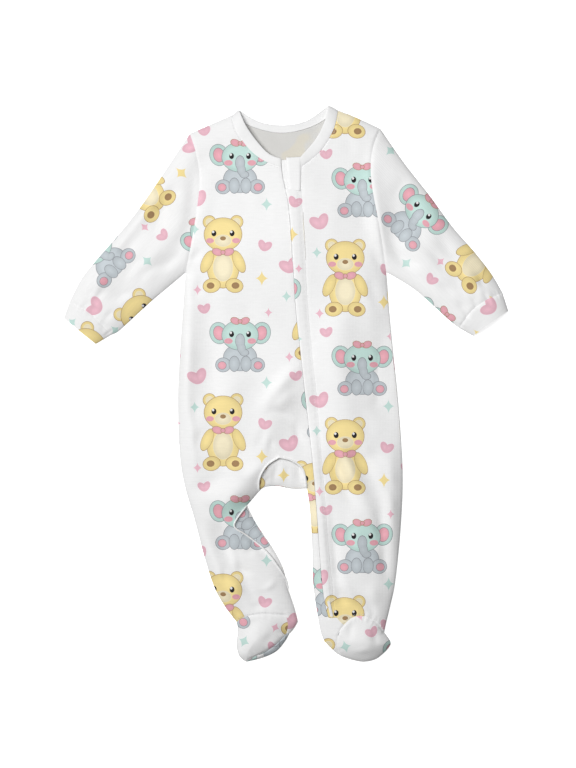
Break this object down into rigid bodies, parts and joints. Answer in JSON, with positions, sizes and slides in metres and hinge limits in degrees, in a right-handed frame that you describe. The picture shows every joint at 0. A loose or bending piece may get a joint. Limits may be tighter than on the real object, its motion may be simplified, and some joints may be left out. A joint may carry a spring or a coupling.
{
  "type": "footed baby sleepsuit",
  "caption": "Footed baby sleepsuit laid flat: long cuffed sleeves, round bound neck, zip from neck to ankle, crotch gusset and sewn feet.",
  "frame": {"origin": "centre of the laid suit's outline, on the surface that it lies on", "axes": "+Y towards the neck, +X to the right as one looks at the front, +Z out of the surface"},
  "size_m": [0.4702, 0.5892, 0.0089],
  "materials": {
    "printed_cotton": "matt interlock knit with a small print",
    "neck_binding": "plain white jersey binding",
    "zip_tape": "woven white tape",
    "zip_plastic": "smooth white"
  },
  "bodies": {
    "root": {"back_panel": "printed_cotton", "front_panel_left": "printed_cotton", "front_panel_right": "printed_cotton", "sleeve_left": "printed_cotton", "sleeve_right": "printed_cotton", "cuff_left": "printed_cotton", "cuff_right": "printed_cotton", "zip_flap": "printed_cotton", "chin_guard": "printed_cotton", "crotch_gusset": "printed_cotton", "leg_gusset_left": "printed_cotton", "vamp_left": "printed_cotton", "sole_left": "printed_cotton", "vamp_right": "printed_cotton", "sole_right": "printed_cotton", "neckband": "neck_binding", "zip_tape": "zip_tape", "zip_slider": "zip_plastic", "zip_stop": "zip_tape"}
  },
  "joints": []
}
